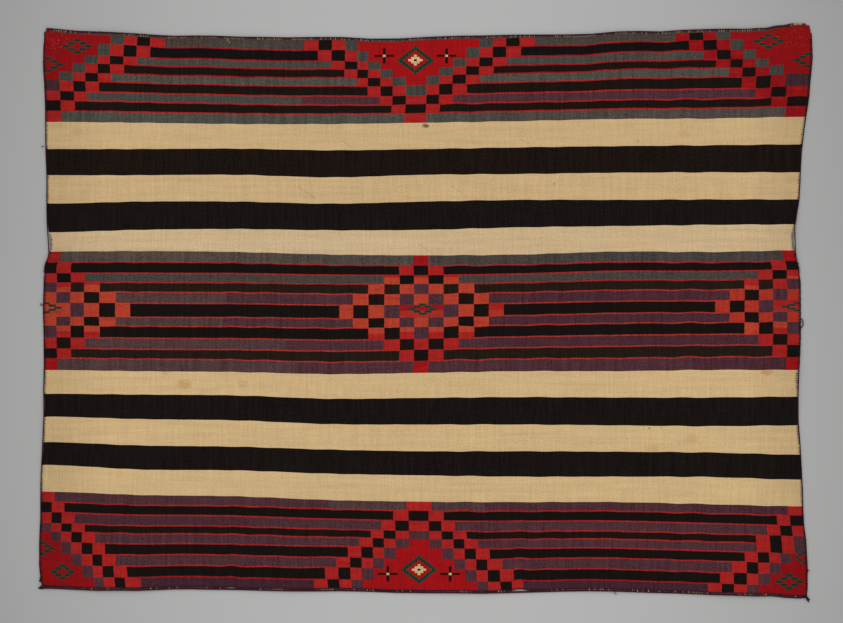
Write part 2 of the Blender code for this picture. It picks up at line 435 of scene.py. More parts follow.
# Small green diamonds, each five steps high, on the red fields and at the hearts of the large ones.
# A step's length is a share of the step across.
SMALL_DIAMONDS_MM = (
    # name, x, y, step across, step down, thickness of a step, its length
    ("top_left", -835.7, 637.2, 13.9, 7.1, 6.9, 1.12),
    ("top_right", 823.4, 649.4, 14.2, 7.1, 6.9, 1.12),
    ("left_upper_half", -904.8, 593.3, 13.9, 7.1, 6.9, 1.12),
    ("right_upper_half", 919.0, 604.3, 13.9, 7.2, 6.9, 1.12),
    ("middle_left", -909.6, 10.3, 13.9, 5.3, 5.3, 1.25),
    ("middle_right", 892.3, 12.5, 14.4, 4.4, 4.4, 1.25),
    ("centre", -7.2, 6.7, 13.2, 5.5, 5.5, 1.28),
    ("bottom_left", -870.2, -623.0, 10.5, 7.6, 7.6, 1.28),
    ("bottom_right", 872.4, -647.0, 12.6, 7.7, 7.6, 1.27),
    ("left_lower_half", -919.2, -567.1, 11.5, 6.6, 6.6, 1.2),
    ("right_lower_half", 907.2, -589.4, 8.4, 5.9, 5.9, 1.2),
)
# How many steps from its middle the faces round one are still told of it.
SMALL_DIAMOND_NEAR = 3.2

# The two middle fields: a ringed diamond between two small crosses, woven on the same steps.
MIDDLE_FIELDS_MM = (
    # name, x, y, way out to the end edge
    ("top", -24.2, 604.0, 1),
    ("bottom", -15.6, -618.0, -1),
)
MIDDLE_FIELD_HALF_MM = (130, 80)
MIDDLE_FIELD_STEP_MM = (6.8, 5.2)

# The grid of the web: its columns, and how many faces high a row is.
WEB_COLUMNS = 220
CHECK_ROW_FACES, PLAIN_ROW_FACES = 3, 4
# What a face is told where it has no thin line, and no small diamond or middle field near it.
NO_LINE_MM, FAR_AWAY_MM = -9.0, -5000.0


def step_at(places, x):
    """The step between places that x lies in, and how far along it x lies."""
    x = min(max(x, places[0]), places[-1])
    k = max(j for j in range(len(places) - 1) if places[j] <= x)
    return k, (x - places[k]) / (places[k + 1] - places[k])


def straight_between(places, values, x):
    """Straight lines through values at places, read at x."""
    k, part = step_at(places, x)
    return values[k] * (1 - part) + values[k + 1] * part


# The unevenness of the weaver's beat: slow waves in every line between rows.
LINE_RIPPLE_MM, ROW_RIPPLE_MM = 0.25, 0.2
random.seed(41)
RIPPLES = [
    # wave length, phase
    (random.uniform(50, 160), random.uniform(0, 2 * math.pi))
    for _wave in range(4)
]


def ripple(x_mm, shift):
    """The waves added up at one place across, set off from each other by a shift for each line."""
    return sum(math.sin(x_mm / length * 2 * math.pi + phase + shift) for length, phase in RIPPLES)


def band_line(number, x_mm):
    """The height in millimetres of band line 0 (the web's top edge) to 13 (its bottom edge)."""
    if number == 0:
        return (outer_y("top", x_mm * MM) - END_CORD_DIAMETER - SEAT_GAP) / MM
    if number == len(BAND_LINES_MM) + 1:
        return (outer_y("bottom", x_mm * MM) + END_CORD_DIAMETER + SEAT_GAP) / MM
    line = curve_at(BAND_LINES_MM[number - 1][1], *step_at(LINE_PLACES_MM, x_mm))
    return line + LINE_RIPPLE_MM * ripple(x_mm, number)


BAND_ORDER = [BAND_LINES_MM[0][0][0], *(pair[1] for pair, _heights in BAND_LINES_MM)]


@functools.cache
def row_lines(x_mm):
    """The heights of all the lines between rows, from the top edge down, at one place across."""
    lines = [band_line(0, x_mm)]
    for number in range(1, len(BAND_LINES_MM) + 2):
        foot = band_line(number, x_mm)
        band = BAND_ORDER[number - 1]
        if band in CHECK_ROWS:
            shares = [straight_between(ROW_PLACES_MM, row[-3:], x_mm) for row in CHECK_ROWS[band]]
            head, drop = lines[-1], lines[-1] - foot
            done = 0.0
            for place, share in enumerate(shares[:-1]):
                done += share
                line = head - drop * done / sum(shares)
                lines.append(line + ROW_RIPPLE_MM * ripple(x_mm, 2.1 * place + number))
        lines.append(foot)
    return lines


# Every row of the blanket: its band, and its place in the band.
ALL_ROWS = [
    (band, place)
    for band in BAND_ORDER
    for place in range(len(CHECK_ROWS[band]) if band in CHECK_ROWS else 1)
]


def faces_high(band):
    """How many faces high a row of a band is."""
    return CHECK_ROW_FACES if band in CHECK_ROWS else PLAIN_ROW_FACES


def web_vertex(across, line, part):
    """A point of the web's underside, from its share of the width and its place in the rows."""
    half_mm = HEIGHT / 2 / MM
    y_mm = straight_between((0, len(ALL_ROWS) - 1), (half_mm, -half_mm), line)
    inset = SIDE_CORD_DIAMETER + SEAT_GAP
    for _pass in range(3):
        left = outer_x("left", y_mm * MM) + inset
        right = outer_x("right", y_mm * MM) - inset
        x = left + across * (right - left)
        lines = row_lines(round(x / MM))
        y_mm = lines[line]
        if part:
            y_mm += part * (lines[line + 1] - lines[line])
    y = y_mm * MM
    return Vector((x, y, lift(x, y)))


def half_diamond(band, place, warp_mm):
    """The half of a diamond that a place along the warps belongs to.

    Given as how many checks it reaches out in this row, how much further its last red check goes,
    in checks, and the ends of its axis column and checks.
    """
    reaches = {"top_band": 8 - place, "middle_band": 5 - abs(place - 5), "bottom_band": place}
    for start, finish, last_mm, ends in HALF_DIAMONDS_MM.get(band, ()):
        if start <= warp_mm < finish:
            reach = reaches[band]
            if start == RIGHT_DIAMONDS_FROM_MM and band in ROW_SHIFTS_MM:
                shift = ROW_SHIFTS_MM[band][place]
                ends = [
                    end + shift * max(0, 1 - n / SHIFTED_CHECKS) for n, end in enumerate(ends)
                ]
                if band == "bottom_band":
                    reach = SHARED_ROW_REACHES[place]
            return reach, last_mm / abs(ends[1] - ends[0]), ends
    return NO_DIAMOND


def checks_out(ends, warp_mm):
    """How many checks out from its axis column a place lies, below 0 inside the column."""
    outwards = 1 if ends[1] > ends[0] else -1
    passed = sum(outwards * (warp_mm - end) > 0 for end in ends)
    n = min(max(passed - 1, 0), len(ends) - 2)
    return n + (warp_mm - ends[n]) / (ends[n + 1] - ends[n])


def linear(dye):
    """A dye's colour in the linear values that the renderer works with."""
    shares = [step / 255 for step in DYES[dye]]
    return [s / 12.92 if s <= 0.04045 else ((s + 0.055) / 1.055) ** 2.4 for s in shares]


def row_yarns(band, place, x_mm, ring):
    """The yarns of one row: stripe, dark, third, red, red below, change, line above, line below."""
    if band not in CHECK_ROWS:
        return *[PLAIN_BANDS[band]] * 5, 0, None, None
    rows = CHECK_ROWS[band]
    stripe, dark, above = rows[place][:3]
    below = rows[place + 1][2] if place + 1 < len(rows) else None
    third, red = BAND_CHECKS[band]
    red_below, change = red, 0
    for name, row, start, finish, yarn in BATCHES_MM:
        if name == band and row == place and start <= x_mm < finish:
            stripe = yarn
    if band == "top_band" and place == PLUM_ROW and abs(x_mm) >= PLUM_FROM_MM:
        third = "dark_plum"
    if band == "top_band" and x_mm > RIGHT_DIAMONDS_FROM_MM:
        red = red_below = "corner_crimson"
    if band == "middle_band":
        diamond = "right" if x_mm > RIGHT_DIAMONDS_FROM_MM else "middle"
        diamond = "left" if x_mm < LEFT_DIAMONDS_TO_MM else diamond
        for row, where, checks, yarn, yarn_below, share in MIDDLE_REDS:
            if row == place and where in ("any", diamond) and checks in ("any", ring):
                red, red_below, change = yarn, yarn_below, share
        if place == SPLIT_CHECK_ROW and SPLIT_CHECK_MM[0] < x_mm < SPLIT_CHECK_MM[1]:
            red, red_below, change = "crimson", "late_orange", 0.5
    if band == "bottom_band" and x_mm > SHARED_ROW_FROM_MM:
        if place == SHARED_ROWS[0]:
            below = None
        if place == SHARED_ROWS[1]:
            above, stripe = None, "black"
    return stripe, dark, third, red, red_below, change, above, below


def mesh_of(name, mesh_maker):
    """The mesh that a bmesh holds."""
    mesh = bpy.data.meshes.new(name)
    mesh_maker.to_mesh(mesh)
    mesh_maker.free()
    return mesh


def web_mesh():
    """The web as a grid whose rows are the woven rows, with each face told its yarns."""
    mesh_maker = bmesh.new()
    in_row = mesh_maker.loops.layers.uv.new("in_row")
    checks_away = mesh_maker.loops.layers.uv.new("checks_away")
    floats = mesh_maker.faces.layers.float
    colours = mesh_maker.faces.layers.float_vector
    told = {
        name: colours.new(name)
        for name in (
            *("stripe", "dark_check", "third_check", "red", "red_below"),
            *("line_above", "line_below", "small_diamond", "small_step", "field"),
        )
    }
    told_number = {
        name: floats.new(name)
        for name in (
            *("reach", "last_reach", "change", "above_mm", "below_mm"),
            *("selvage_mm", "hem_mm", "carded"),
        )
    }
    lines = []
    for number, (band, _place) in enumerate(ALL_ROWS):
        parts = faces_high(band)
        lines += [(number, part / parts) for part in range(parts)]
    lines.append((len(ALL_ROWS), 0.0))
    grid = [
        [
            mesh_maker.verts.new(web_vertex(k / WEB_COLUMNS, number, part))
            for k in range(WEB_COLUMNS + 1)
        ]
        for number, part in lines
    ]
    for step in range(len(lines) - 1):
        number, part = lines[step]
        band, place = ALL_ROWS[number]
        parts = faces_high(band)
        for k in range(WEB_COLUMNS):
            corners = (grid[step + 1][k], grid[step + 1][k + 1], grid[step][k + 1], grid[step][k])
            face = mesh_maker.faces.new(corners)
            face.smooth = True
            middle = face.calc_center_median()
            x_mm, y_mm = middle.x / MM, middle.y / MM
            tall = (corners[3].co.y - corners[0].co.y) / MM * parts
            warps = [((k + side) / WEB_COLUMNS - 0.5) * WIDTH / MM for side in (0, 1)]
            reach, last, ends = half_diamond(band, place, sum(warps) / 2)
            level = reach - 0.5 - checks_out(ends, sum(warps) / 2)
            ring = "outer" if level < 1 else "inner" if level < 3 else "heart"
            yarns = row_yarns(band, place, x_mm, ring)
            for name, yarn in zip(told, yarns[:5]):
                face[told[name]] = linear(yarn)
            change, above, below = yarns[5:]
            face[told_number["change"]] = change * tall
            face[told["line_above"]] = linear(above or "line_crimson")
            face[told["line_below"]] = linear(below or "line_crimson")
            half_line = HALF_LINES_MM.get(band, 0.0)
            face[told_number["above_mm"]] = half_line if above else NO_LINE_MM
            face[told_number["below_mm"]] = half_line if below else NO_LINE_MM
            first = band == "top_band" and place == 0
            covered = first and SELVAGE_WEFTS_FROM_MM < x_mm < SELVAGE_WEFTS_TO_MM
            face[told_number["selvage_mm"]] = SELVAGE_WEFTS_MM if covered else NO_LINE_MM
            foot_row = number == len(ALL_ROWS) - 1 and BOTTOM_HEM_FROM_MM < x_mm
            face[told_number["hem_mm"]] = BOTTOM_HEM_MM if foot_row else NO_LINE_MM
            face[told_number["reach"]] = reach
            face[told_number["last_reach"]] = last
            face[told_number["carded"]] = CARDED.get(band.split("_")[0], CARDED_DYED)
            face[told["small_diamond"]] = (FAR_AWAY_MM, 0.0, 0.0)
            face[told["small_step"]] = (10.0, 10.0, 0.0)
            for _name, x, y, across, down, thick, share in SMALL_DIAMONDS_MM:
                near_x, near_y = SMALL_DIAMOND_NEAR * across, SMALL_DIAMOND_NEAR * down
                if abs(x_mm - x) < near_x and abs(y_mm - y) < near_y:
                    face[told["small_diamond"]] = (x, y, share * across / 2)
                    face[told["small_step"]] = (across, down, thick / 2)
            face[told["field"]] = (FAR_AWAY_MM, 0.0, 1.0)
            for _name, x, y, out in MIDDLE_FIELDS_MM:
                half_x, half_y = MIDDLE_FIELD_HALF_MM
                if abs(x_mm - x) < half_x and abs(y_mm - y) < half_y:
                    face[told["field"]] = (x, y, out)
            start = part * tall
            for loop in face.loops:
                low = loop.vert in corners[:2]
                down = start + (tall / parts if low else 0.0)
                loop[in_row].uv = (down, tall - down)
                side = 1 if loop.vert in corners[1:3] else 0
                loop[checks_away].uv = (checks_out(ends, warps[side]), 0.0)
    return mesh_of("woven_web", mesh_maker)


class Thread:
    """A socket of the nodes being built. Arithmetic on it adds Math nodes."""

    def __init__(self, loom, socket):
        self.loom, self.socket = loom, socket

    def math(self, operation, *terms):
        return self.loom.node("ShaderNodeMath", {"operation": operation}, dict(enumerate(terms)))

    def __add__(self, other):
        return self.math("ADD", self, other)

    def __radd__(self, other):
        return self.math("ADD", other, self)

    def __sub__(self, other):
        return self.math("SUBTRACT", self, other)

    def __rsub__(self, other):
        return self.math("SUBTRACT", other, self)

    def __mul__(self, other):
        return self.math("MULTIPLY", self, other)

    def __rmul__(self, other):
        return self.math("MULTIPLY", other, self)

    def __truediv__(self, other):
        return self.math("DIVIDE", self, other)

    def __rtruediv__(self, other):
        return self.math("DIVIDE", other, self)

    def __gt__(self, other):
        return self.math("GREATER_THAN", self, other)

    def __lt__(self, other):
        return self.math("LESS_THAN", self, other)

    def __abs__(self):
        return self.math("ABSOLUTE", self)

    def floor(self):
        return self.math("FLOOR", self)

    def nearest(self):
        return self.math("ROUND", self)

    def least(self, other):
        return self.math("MINIMUM", self, other)

    def most(self, other):
        return self.math("MAXIMUM", self, other)

    def wave(self):
        return self.math("SINE", self)

    def within(self, low, high):
        """This value's share of the way from low to high, held between 0 and 1."""
        return self.loom.node("ShaderNodeMapRange", {"clamp": True}, {0: self, 1: low, 2: high})


class Loom:
    """A tree of nodes. node() adds one of any type: its settings first, then its sockets."""

    def __init__(self, tree):
        self.tree = tree

    def node(self, kind, settings=None, sockets=None, out=0):
        made = self.tree.nodes.new(kind)
        for name, value in (settings or {}).items():
            setattr(made, name, value)
        for name, value in (sockets or {}).items():
            if isinstance(value, Thread):
                self.tree.links.new(value.socket, made.inputs[name])
            else:
                made.inputs[name].default_value = value
        return Thread(self, made.outputs[out]) if len(made.outputs) else None

    def mix(self, share, a, b, blend="MIX"):
        """Two colours mixed, each a thread or the name of a dye."""
        a, b = ((*linear(c), 1.0) if isinstance(c, str) else c for c in (a, b))
        settings = {"data_type": "RGBA", "blend_type": blend}
        return self.node("ShaderNodeMix", settings, {0: share, 6: a, 7: b}, out=2)

    def told(self, name, out=0):
        """What the mesh was told under this name: a colour (0), a vector (1) or a number (2)."""
        return self.node("ShaderNodeAttribute", {"attribute_name": name}, out=out)

    def parts(self, vector):
        """The three parts of a vector."""
        split = self.node("ShaderNodeSeparateXYZ", None, {0: vector})
        return [Thread(self, socket) for socket in split.socket.node.outputs]

    def place(self, x=0.0, y=0.0, z=0.0):
        return self.node("ShaderNodeCombineXYZ", None, {0: x, 1: y, 2: z})

    def place_mm(self):
        """The three parts of a place on the object, in millimetres."""
        inside = self.node("ShaderNodeTexCoord", out=3)
        return [part * 1000.0 for part in self.parts(inside)]

    def cloud(self, place, scale=1.0, detail=2.0, roughness=0.5):
        """Soft noise from 0 to 1 at a place, given as a thread or in its parts."""
        place = self.place(*place) if isinstance(place, tuple) else place
        sockets = {"Vector": place, "Scale": scale, "Detail": detail, "Roughness": roughness}
        return self.node("ShaderNodeTexNoise", {"noise_dimensions": "3D"}, sockets)


def wool_skin(name, roughness):
    """A material with wool's soft edge light, and the loom for its nodes."""
    skin = bpy.data.materials.new(name)
    skin.use_nodes = True
    shader = skin.node_tree.nodes["Principled BSDF"]
    shader.inputs["Roughness"].default_value = roughness
    shader.inputs["Specular IOR Level"].default_value = 0.04
    shader.inputs["Sheen Weight"].default_value = 0.03
    shader.inputs["Sheen Roughness"].default_value = 0.6
    return skin, Loom(skin.node_tree), shader


def cover(loom, shader, yarn, rough, height, strength, depth):
    """Gives a wool its colour and roughness, and raises its fibres."""
    raised = {"Strength": strength, "Distance": depth, "Height": height}
    bump = loom.node("ShaderNodeBump", None, raised)
    for thread, socket in ((yarn, "Base Color"), (rough, "Roughness"), (bump, "Normal")):
        loom.tree.links.new(thread.socket, shader.inputs[socket])


# Marks of weaving, handling and wear on the face of the web.
MARKS_MM = (
    # name, x, y, half_x, half_y, strength, stain, on the ivory rows only
    ("white_batch", -300.0, 163.0, 420, 22, 0.3, "white_batch", 1),
    ("grubby_corner", -860.0, -485.0, 420, 50, 0.55, "grubby_ivory", 1),
    ("brown_batch", -640.0, 134.0, 330, 16, 0.4, "brown_batch", 0),
    ("spill", 0.0, 446.4, 11, 6, 0.75, "spilt_dark", 0),
    ("tan_1", -579.6, -172.8, 22, 14, 0.5, "tan_stain", 1),
    ("tan_2", -438.0, -172.8, 16, 12, 0.28, "tan_stain", 1),
    ("tan_3", -622.8, -144.0, 14, 10, 0.25, "tan_stain", 1),
    ("tan_4", -834.0, 432.0, 18, 12, 0.22, "tan_stain", 1),
    ("tan_5", 637.2, -302.4, 22, 14, 0.25, "tan_stain", 1),
    ("tan_6", 546.0, -326.4, 18, 13, 0.25, "tan_stain", 1),
    ("tan_7", 819.6, -143.6, 20, 9, 0.5, "orange_stain", 1),
    ("tan_8", 620.4, 427.2, 18, 12, 0.25, "tan_stain", 1),
    ("brown", -579.6, 648.0, 15, 9, 0.6, "soil_brown", 0),
    ("fleck_1", -469.7, 646.8, 3, 3, 0.6, "pale_fleck", 0),
    ("fleck_2", -474.5, 652.1, 3, 3, 0.5, "pale_fleck", 0),
    ("dark_1", -562.8, 637.9, 4, 3, 0.6, "ink_dark", 0),
    ("dark_2", -544.8, 637.9, 4, 3, 0.6, "ink_dark", 0),
    ("speck_1", 536.4, -278.4, 4, 3, 0.6, "speck_brown", 1),
    ("speck_2", 565.2, -278.4, 3, 3, 0.5, "speck_brown", 1),
    ("speck_3", 510.0, 410.4, 3, 3, 0.5, "speck_brown", 1),
    ("speck_4", 308.4, 307.2, 3, 3, 0.5, "speck_brown", 1),
)

# Faint slanting lines in the plain bands where two sections of weaving meet, and a line of
# painted shade along a crease.
SLANTS_MM = (
    # name, upper x, upper y, lower x, lower y, strength
    ("lazy_1", -200, 410, -174, 394, 0.35),
    ("lazy_2", 224, 415, 251, 403, 0.35),
    ("lazy_3", 59, 305, 100, 276, 0.35),
    ("lazy_4", -306, 300, -263, 271, 0.35),
    # A line of painted shade where the cloth was folded.
    ("crease", -20, 166, 18, 139, 0.3),
)

# Where the wefts are worn thin.
WORN_CORNERS_MM = (
    # name, x, y, half_x, half_y
    ("top_left", -885, 652, 60, 34),
    ("top_right", 878, 662, 62, 36),
)

# What is uneven in the web, each a cloud of soft noise.
CLOUDS = {
    # name: turns in a millimetre across and down, depth in the cloud, detail, roughness
    "waver": (0.012, 0.14, 0.0, 3.0, 0.5),
    "teeth": (0.3, 0.02, 0.0, 1.0, 0.5),
    "patch": (0.022, 0.1, 11.0, 2.0, 0.5),
    "ragged": (0.07, 0.11, 0.0, 3.0, 0.5),
    "pits": (0.22, 0.26, 3.0, 1.0, 0.5),
    "streak": (0.02, 0.75, 1.0, 3.0, 0.6),
    "batch": (0.006, 0.09, 5.0, 3.0, 0.6),
    "fibre": (0.2, 0.42, 2.0, 2.0, 0.5),
    "strand": (0.16, 0.012, 7.0, 2.0, 0.5),
    "grain": (0.26, 0.26, 4.0, 1.0, 0.5),
    "beat": (0.5, 1.6, 9.0, 2.0, 0.5),
}
WARP_PITCH_MM = 3.1
# Where the fields' red turns darker towards the corners, where the end bands begin, and where
# painted shade darkens the web a little towards its sides.
CORNER_REDS_MM = (560.0, 640.0)
END_BANDS_FROM_MM = 400.0
PAINTED_SIDE_SHADE_MM = (770.0, 880.0)


def weave_web_skin():
    """The woven pattern, marks and wear, painted shade at the sides and a crease, and the warp ribs
    under the wefts.
    """
    skin, loom, shader = wool_skin("woven_wool", 0.92)
    x, y, _z = loom.place_mm()
    cloud = {
        name: loom.cloud((x * across, y * down, depth), detail=detail, roughness=roughness)
        for name, (across, down, depth, detail, roughness) in CLOUDS.items()
    }

    # The hand's unevenness: checks step along the warps and lines waver.
    waver = cloud["waver"] - 0.5
    teeth = cloud["teeth"] - 0.5
    away, _, _ = loom.parts(loom.told("checks_away", out=1))
    away = away + waver * 0.09
    reach = loom.told("reach", out=2)
    level = reach - (away.floor() + 1.0).most(0.0)
    last_out = ((away - loom.told("last_reach", out=2)).floor() + 1.0).most(0.0)
    in_last = (reach - last_out) > -0.5

    down, up, _ = loom.parts(loom.told("in_row", out=1))
    below_change = (down + teeth * 2.0) > loom.told("change", out=2)
    red = loom.mix(below_change, loom.told("red"), loom.told("red_below"))
    red = loom.mix(cloud["patch"].within(0.5, 0.68) * 0.28, red, "red_light")
    red = loom.mix(cloud["patch"].within(0.5, 0.32) * 0.3, red, "red_dark")
    is_red = (level > -0.5).most(in_last)
    in_red_field = (level > 3.5) * (abs(y) > END_BANDS_FROM_MM)
    field_red = loom.mix(abs(x).within(*CORNER_REDS_MM), "deep_crimson", "corner_crimson")
    red = loom.mix(in_red_field, red, field_red)
    yarn = loom.mix(is_red, loom.told("stripe"), red)
    is_dark = (level > 0.5) * (level < 1.5)
    is_third = (level > 2.5) * (level < 3.5)
    is_red = is_red * (1.0 - is_dark) * (1.0 - is_third)
    yarn = loom.mix(is_dark, yarn, loom.told("dark_check"))
    yarn = loom.mix(is_third, yarn, loom.told("third_check"))

    # The thin red lines of a few wefts between striped rows, and the grey wefts along the top.
    striped = level < -0.5
    above_line = (down + teeth * 0.9) < loom.told("above_mm", out=2)
    below_line = (up - teeth * 0.9) < loom.told("below_mm", out=2)
    yarn = loom.mix(above_line * striped, yarn, loom.told("line_above"))
    yarn = loom.mix(below_line * striped, yarn, loom.told("line_below"))
    selvage = (down + teeth * 1.5) < loom.told("selvage_mm", out=2)
    yarn = loom.mix(selvage, yarn, "selvage_grey")
    hem = (up - teeth * 1.5) < loom.told("hem_mm", out=2)
    yarn = loom.mix(hem, yarn, "hem_purple")

    # Small green diamonds on five steps.
    small_x, small_y, half_run = loom.parts(loom.told("small_diamond", out=1))
    step_x, step_y, half_thick = loom.parts(loom.told("small_step", out=1))
    rise = y + waver * 1.2 - small_y
    tier = (rise / step_y).nearest()
    on_tier = abs(rise - tier * step_y) < half_thick
    run = abs(abs(x - small_x) - (2.0 - abs(tier)) * step_x) < half_run
    yarn = loom.mix((abs(tier) < 2.5) * on_tier * run, yarn, "green")

    # The middle fields: a ringed diamond, and a cross out to either side of it.
    field_x, field_y, out = loom.parts(loom.told("field", out=1))
    over = ((x - field_x) / MIDDLE_FIELD_STEP_MM[0]).nearest()
    rise = ((y + waver * 1.2 - field_y) * out / MIDDLE_FIELD_STEP_MM[1]).nearest()
    ring = abs(over) + abs(rise)
    arm_x = abs(abs(over) - 11.0)
    arm_y = abs(rise - 2.0)
    arms = arm_x + arm_y
    in_field = field_x > FAR_AWAY_MM + 1000.0
    for part, dye in (
        ((ring > 4.5) * (ring < 6.5), "green"),
        (ring < 2.5, "ivory"),
        (ring < 0.5, "black"),
        ((arms < 3.5) * (arm_x.least(arm_y) < 0.5), "black"),
        (arms < 0.5, "ivory"),
    ):
        yarn = loom.mix(in_field * part, yarn, dye)

    # Marks and wear, and painted shade along a crease.
    def nearness(mark_x, mark_y, half_x, half_y):
        """1 at the middle of an oval mark, 0 at its rim and less outside."""
        gap_x, gap_y = (x - mark_x) / half_x, (y - mark_y) / half_y
        return 1.0 - (gap_x * gap_x + gap_y * gap_y)

    ragged = cloud["ragged"] - 0.5
    carded = loom.told("carded", out=2)
    for _name, *oval, strength, stain, ivory_only in MARKS_MM:
        share = (nearness(*oval) + ragged * 1.2).within(0.0, 0.9) * strength
        if ivory_only:
            share = share * (carded < 0.5)
        yarn = loom.mix(share, yarn, stain)
    # Lazy lines in a brown yarn, and the crease's painted shade in the same brown.
    for _name, upper_x, upper_y, lower_x, lower_y, strength in SLANTS_MM:
        run_x, run_y = lower_x - upper_x, lower_y - upper_y
        long = math.hypot(run_x, run_y)
        along = ((x - upper_x) * run_x + (y - upper_y) * run_y) * (1 / long**2)
        beside = abs((x - upper_x) * run_y - (y - upper_y) * run_x + teeth * long) * (1 / long)
        line = (along > 0.0) * (along < 1.0) * beside.within(1.4, 0.3)
        yarn = loom.mix(line * strength, yarn, "lazy_brown_and_crease_shade")
    for _name, *oval in WORN_CORNERS_MM:
        worn = nearness(*oval).within(0.0, 1.0) * cloud["pits"].within(0.65, 0.75) * 0.45
        yarn = loom.mix(worn, yarn, "worn_fibre")

    # The wefts' own streaks, the batches of dye, the carded mix of fibres, painted shade towards
    # the sides, and the warps beneath.
    uneven_parts = ("streak", "batch", "fibre", "strand", "grain")
    streak, batch, fibre, strand, grain = (cloud[name] - 0.5 for name in uneven_parts)
    uneven = streak * 0.9 + strand * 0.9 + fibre * 1.1 + grain * 1.0
    shade = 1.0 + batch * 0.32 + uneven * carded * (1.0 - is_red * 0.5)
    # Painted shade: the web is darkened by up to 16 per cent towards its left and right sides.
    shade = shade * (1.0 - (abs(x) + ragged * 60.0).within(*PAINTED_SIDE_SHADE_MM) * 0.16)
    yarn = loom.mix(1.0, yarn, loom.place(shade, shade, shade), blend="MULTIPLY")

    warp = (x * (2 * math.pi / WARP_PITCH_MM) + waver * 2.0).wave() * 0.5 + 0.5
    height = warp * 0.5 + cloud["beat"] * 0.5 + streak * 0.4
    cover(loom, shader, yarn, 0.9 + streak * 0.12, height, 0.7, 0.0006)
    return skin


def laid(name, data):
    """A new object in the scene."""
    piece = bpy.data.objects.new(name, data)
    bpy.context.scene.collection.objects.link(piece)
    return piece


def finished(piece, mesh_name):
    """The piece with its modifiers applied, as a plain mesh at the origin."""
    bpy.context.view_layer.update()
    worked_out = bpy.context.evaluated_depsgraph_get()
    mesh = bpy.data.meshes.new_from_object(
        piece.evaluated_get(worked_out), preserve_all_data_layers=True, depsgraph=worked_out
    )
    mesh.name = mesh_name
    old = piece.data
    piece.modifiers.clear()
    if piece.type == "MESH":
        piece.data = mesh
        return piece
    made = laid(piece.name + "_made", mesh)
    name = piece.name
    bpy.data.objects.remove(piece)
    bpy.data.curves.remove(old)
    made.name = name
    return made


web_cloth = laid("web_cloth", web_mesh())
web_cloth.data.materials.append(weave_web_skin())
cloth_thickness = web_cloth.modifiers.new("cloth_thickness", "SOLIDIFY")
cloth_thickness.thickness = WEB_THICK
cloth_thickness.offset = 1.0
web_cloth = finished(web_cloth, "web_cloth")
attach(web_cloth, "root")
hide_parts("web")

# ---------------------------------------------------------------------------------------------
# The end cords: three plies of dark wool twisted hard and twined through the warp loops, one along
# the top edge and one along the bottom. Each stops a little short of its corners, where it is worn.

# The steps along the end and side cords, and how much closer they stand near the corners.
GRID_COLUMNS = 48
GRID_ROWS = 36
EDGE_CLOSENESS = 0.8
# How much each cord is cut short at its ends.
CORD_ENDS_MM = {
    # cord: left or lower end, right or upper end
    "top": (6, 42),
    "bottom": (10, 6),
    "left": (25, 4),
    "right": (2, 19),
}
DYES["cord_purple"] = (68, 25, 37)
DYES["cord_dark"] = (30, 10, 18)
DYES["cord_faded"] = (130, 92, 92)


def crowded(share):
    """An even share moved towards the nearer edge."""
    return share - EDGE_CLOSENESS * math.sin(2 * math.pi * share) / (2 * math.pi)


def web_point(across, up):
    """A point of the web's underside, from its shares of the width and height."""
    side_inset = SIDE_CORD_DIAMETER + SEAT_GAP
    end_inset = END_CORD_DIAMETER + SEAT_GAP
    middle = (outer_y("top", 0.0) + outer_y("bottom", 0.0)) / 2
    level = middle + (up - 0.5) * (outer_y("top", 0.0) - outer_y("bottom", 0.0))
    for _pass in range(3):
        left = outer_x("left", level) + side_inset
        right = outer_x("right", level) - side_inset
        x = left + across * (right - left)
        bottom = outer_y("bottom", x) + end_inset
        top = outer_y("top", x) - end_inset
        level = bottom + up * (top - bottom)
    return x, level, lift(x, level)


def trimmed(points, start, finish):
    """The part of a run of points that is left when a length is cut from each of its ends."""
    for length in (start, finish):
        while length > 0 and (points[1] - points[0]).length <= length:
            length -= (points[1] - points[0]).length
            points = points[1:]
        if length > 0:
            step = points[1] - points[0]
            points = [points[0] + step * (length / step.length), *points[1:]]
        points = points[::-1]
    return points


def end_run(end):
    """The middle line of an end cord."""
    radius = END_CORD_DIAMETER / 2
    seat = radius + SEAT_GAP
    outward = seat if end == "top" else -seat
    points = []
    for k in range(GRID_COLUMNS + 1):
        x, y, z = web_point(crowded(k / GRID_COLUMNS), 1.0 if end == "top" else 0.0)
        points.append(Vector((x, y + outward, z + radius)))
    for side, place in (("left", 0), ("right", len(points) + 1)):
        beyond = points[0 if side == "left" else -1].copy()
        beyond.x += SIDE_CORD_DIAMETER * (-1 if side == "left" else 1)
        points.insert(place, beyond)
    return trimmed(points, *(length * MM for length in CORD_ENDS_MM[end]))


def yarn_path(name, points):
    """A bare path through the points, for a Geometry Nodes tree to work along."""
    curve = bpy.data.curves.new(name, "CURVE")
    curve.dimensions = "3D"
    spline = curve.splines.new("POLY")
    spline.points.add(len(points) - 1)
    for place, point in zip(spline.points, points):
        place.co = (*point, 1.0)
    return laid(name, curve)


def size_tree(name, counts, sizes):
    """An empty Geometry Nodes tree with a named input for each count and size, and for the wool."""
    tree = bpy.data.node_groups.new(name, "GeometryNodeTree")
    for way in ("INPUT", "OUTPUT"):
        tree.interface.new_socket("Geometry", in_out=way, socket_type="NodeSocketGeometry")
    for names, kind in ((counts, "Int"), (sizes, "Float"), (("Wool",), "Material")):
        for item in names:
            tree.interface.new_socket(item, in_out="INPUT", socket_type=f"NodeSocket{kind}")
    loom = Loom(tree)
    given = loom.node("NodeGroupInput").socket.node
    return loom, {socket.name: Thread(loom, socket) for socket in given.outputs}


def vector(loom, operation, a, b=None):
    """A vector worked out from one or two others."""
    sockets = {0: a} if b is None else {0: a, "Scale" if operation == "SCALE" else 1: b}
    return loom.node("ShaderNodeVectorMath", {"operation": operation}, sockets)


